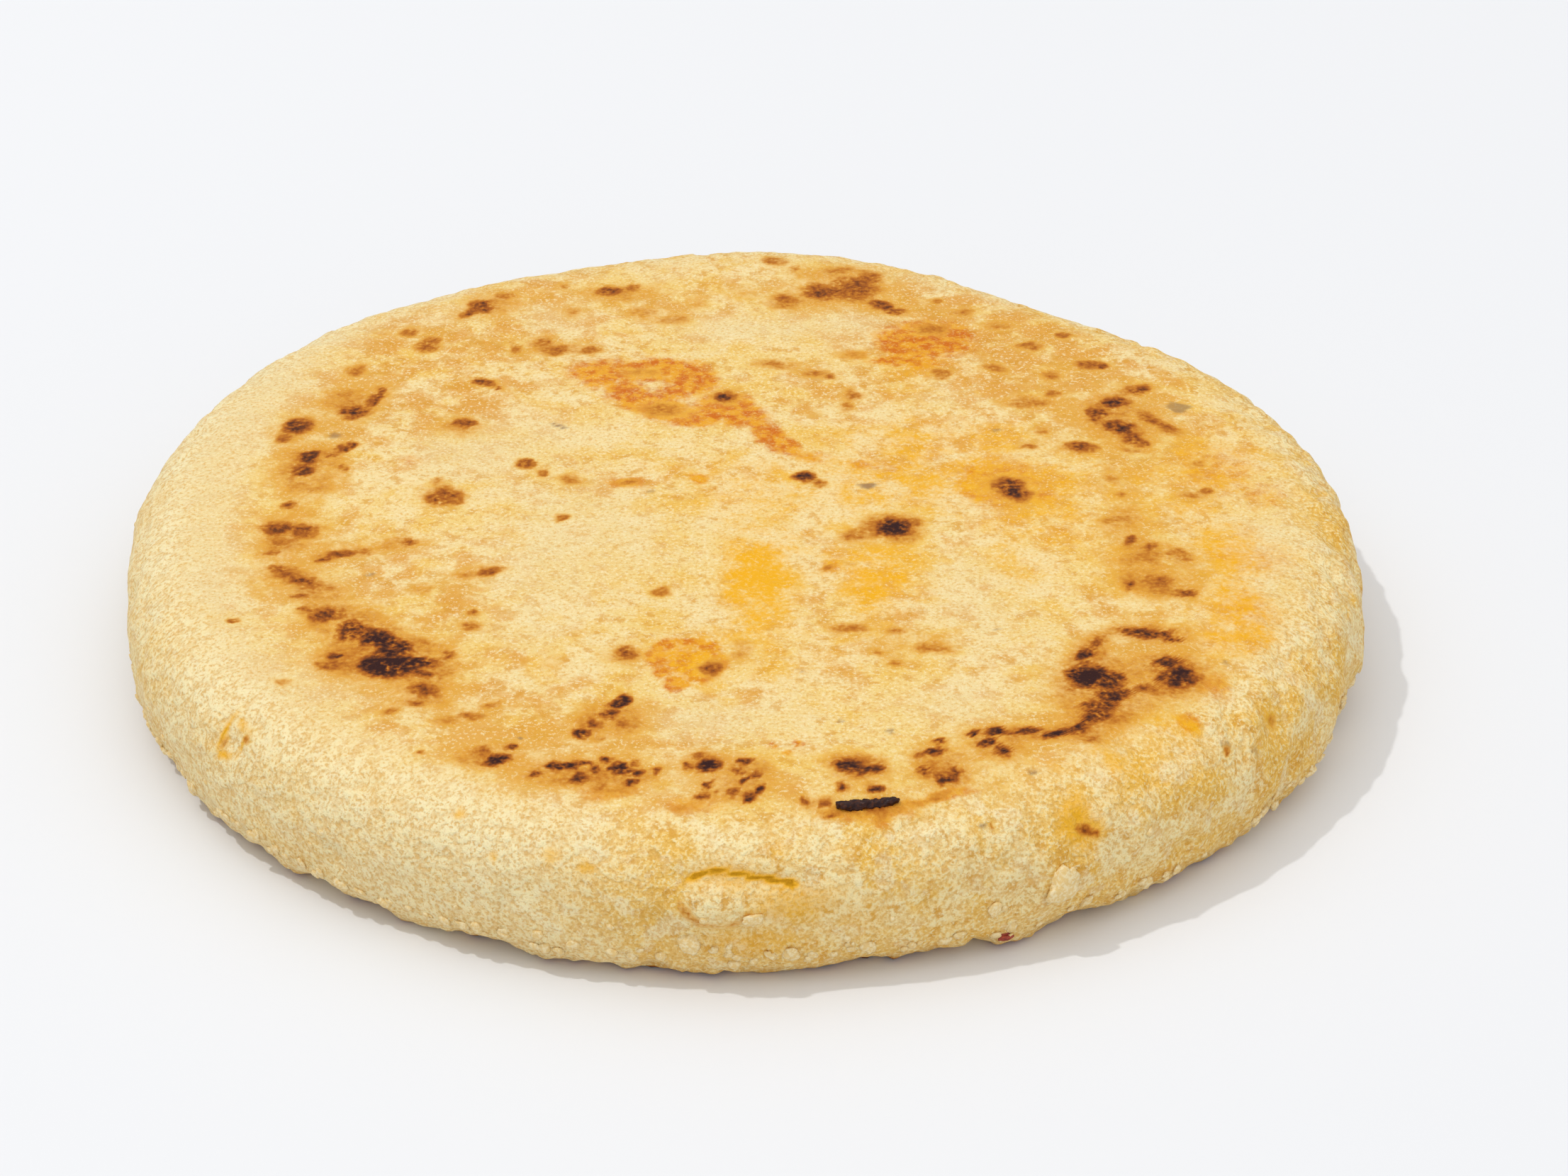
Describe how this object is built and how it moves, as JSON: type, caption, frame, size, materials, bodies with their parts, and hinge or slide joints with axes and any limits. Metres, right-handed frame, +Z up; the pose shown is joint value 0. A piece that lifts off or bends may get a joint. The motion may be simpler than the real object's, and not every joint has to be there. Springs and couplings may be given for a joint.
{
  "type": "pupusa",
  "caption": "Whole griddled corn pupusa: a thick, hand-patted disc with a flat toasted top, a pale bulging wall and a flat underside to rest on.",
  "frame": {"origin": "the middle of the outline, on the surface that the pupusa lies on", "axes": "+Z up, out of the toasted top; -Y towards the side with the charred sliver; +X to the right as seen from there"},
  "size_m": [0.1265, 0.1256, 0.0154],
  "materials": {
    "masa": null,
    "charred_masa": null,
    "crumb": null
  },
  "bodies": {
    "root": {"pupusa": "masa"}
  },
  "joints": []
}
